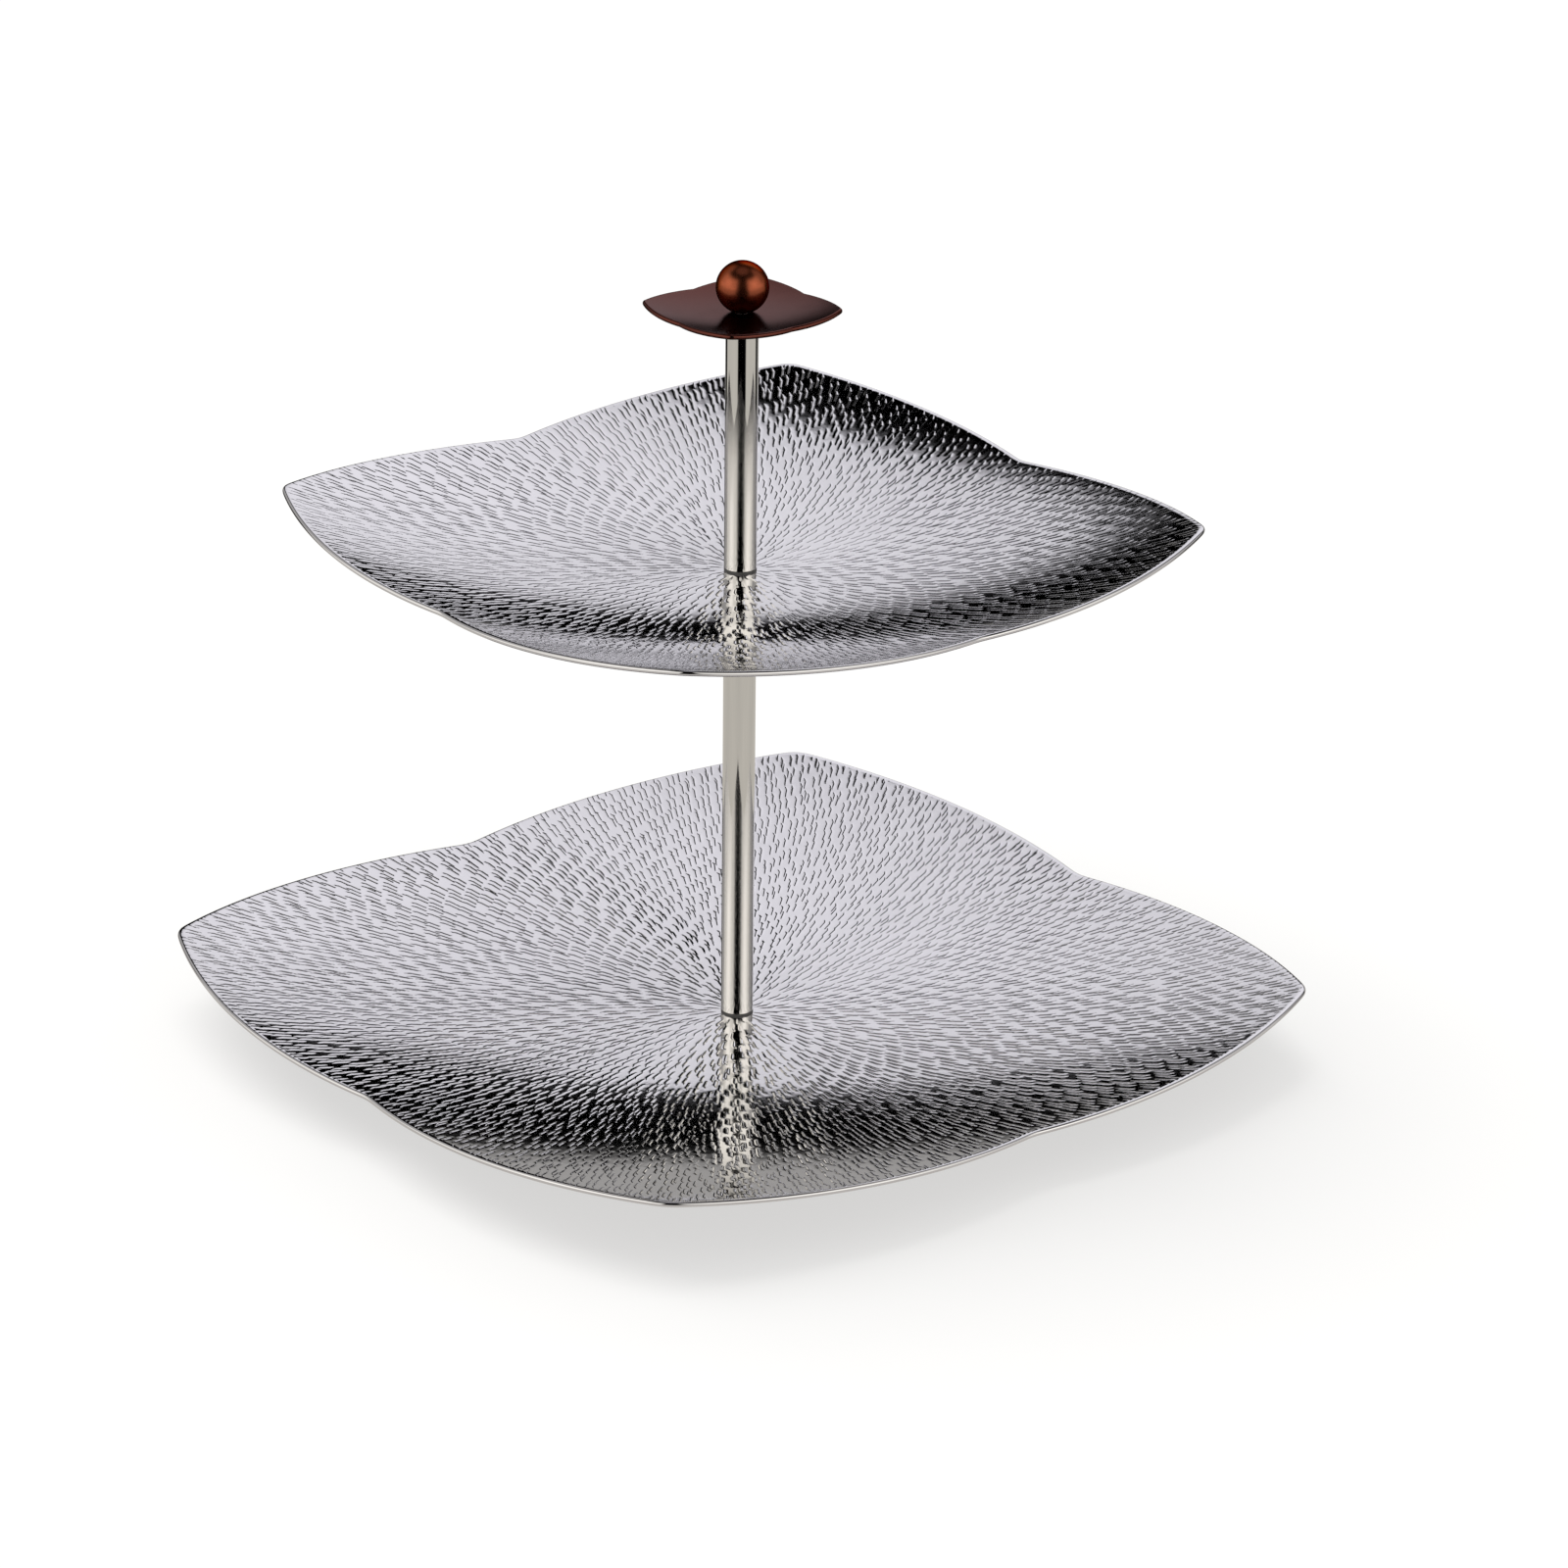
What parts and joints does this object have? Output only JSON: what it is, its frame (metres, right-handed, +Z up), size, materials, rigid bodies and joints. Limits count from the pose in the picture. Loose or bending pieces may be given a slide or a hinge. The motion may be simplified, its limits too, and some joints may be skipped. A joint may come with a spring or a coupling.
{
  "type": "tiered cake stand",
  "caption": "Tiered serving stand with dished square petal trays of hammered polished steel on a slim tube post, with a ball knob and petal plate as its handle.",
  "frame": {"origin": "on the post's axis at the surface that the feet rest on", "axes": "+Z up along the post; the trays' corners point along X and Y"},
  "size_m": [0.4224, 0.4224, 0.3034],
  "materials": {
    "polished_steel_tray": "hammered and mirror polished",
    "polished_steel_tube": "mirror polished",
    "plated_hardware": "zinc plated",
    "black_rubber": "matt",
    "dark_nylon": "matt",
    "dark_brown_lacquer": "satin metallic lacquer",
    "copper_brown_lacquer": "satin metallic lacquer"
  },
  "bodies": {
    "base": {"lower_tray": "polished_steel_tray", "front_foot": "black_rubber", "right_foot": "black_rubber", "back_foot": "black_rubber", "left_foot": "black_rubber", "base_pad": "black_rubber"},
    "post": {"lower_seat_washer": "dark_nylon", "base_washer": "plated_hardware", "base_spring_washer": "plated_hardware", "base_screw": "plated_hardware", "lower_tube": "polished_steel_tube", "lower_tube_bottom_plug": "plated_hardware", "lower_tube_top_plug": "plated_hardware", "under_tray_washer": "dark_nylon", "joining_stud": "plated_hardware", "upper_seat_washer": "dark_nylon", "upper_tube": "polished_steel_tube", "upper_tube_bottom_plug": "plated_hardware", "upper_tube_top_plug": "plated_hardware", "handle_seat_ring": "dark_nylon"},
    "upper_tier": {"upper_tray": "polished_steel_tray"},
    "handle": {"handle_plate": "dark_brown_lacquer", "retaining_clip": "plated_hardware"},
    "knob": {"knob_ball": "copper_brown_lacquer", "knob_stud": "plated_hardware"}
  },
  "joints": [
    {"name": "post_turn", "type": "hinge", "parent": "base", "child": "post", "pos_m": [0, 0, 0.011], "axis": [0, 0, 1], "continuous": true},
    {"name": "upper_tray_turn", "type": "hinge", "parent": "post", "child": "upper_tier", "pos_m": [0, 0, 0.1855], "axis": [0, 0, 1], "continuous": true},
    {"name": "handle_lift", "type": "slide", "parent": "post", "child": "handle", "axis": [0, 0, 1], "range_m": [0, 0.008]},
    {"name": "knob_turn", "type": "hinge", "parent": "handle", "child": "knob", "pos_m": [0, 0, 0.2855], "axis": [0, 0, 1], "range_deg": [0, 2880]}
  ],
  "couplings": [
    {"joint": "knob_turn", "follows": "handle_lift", "rad_per_m": 6283}
  ]
}
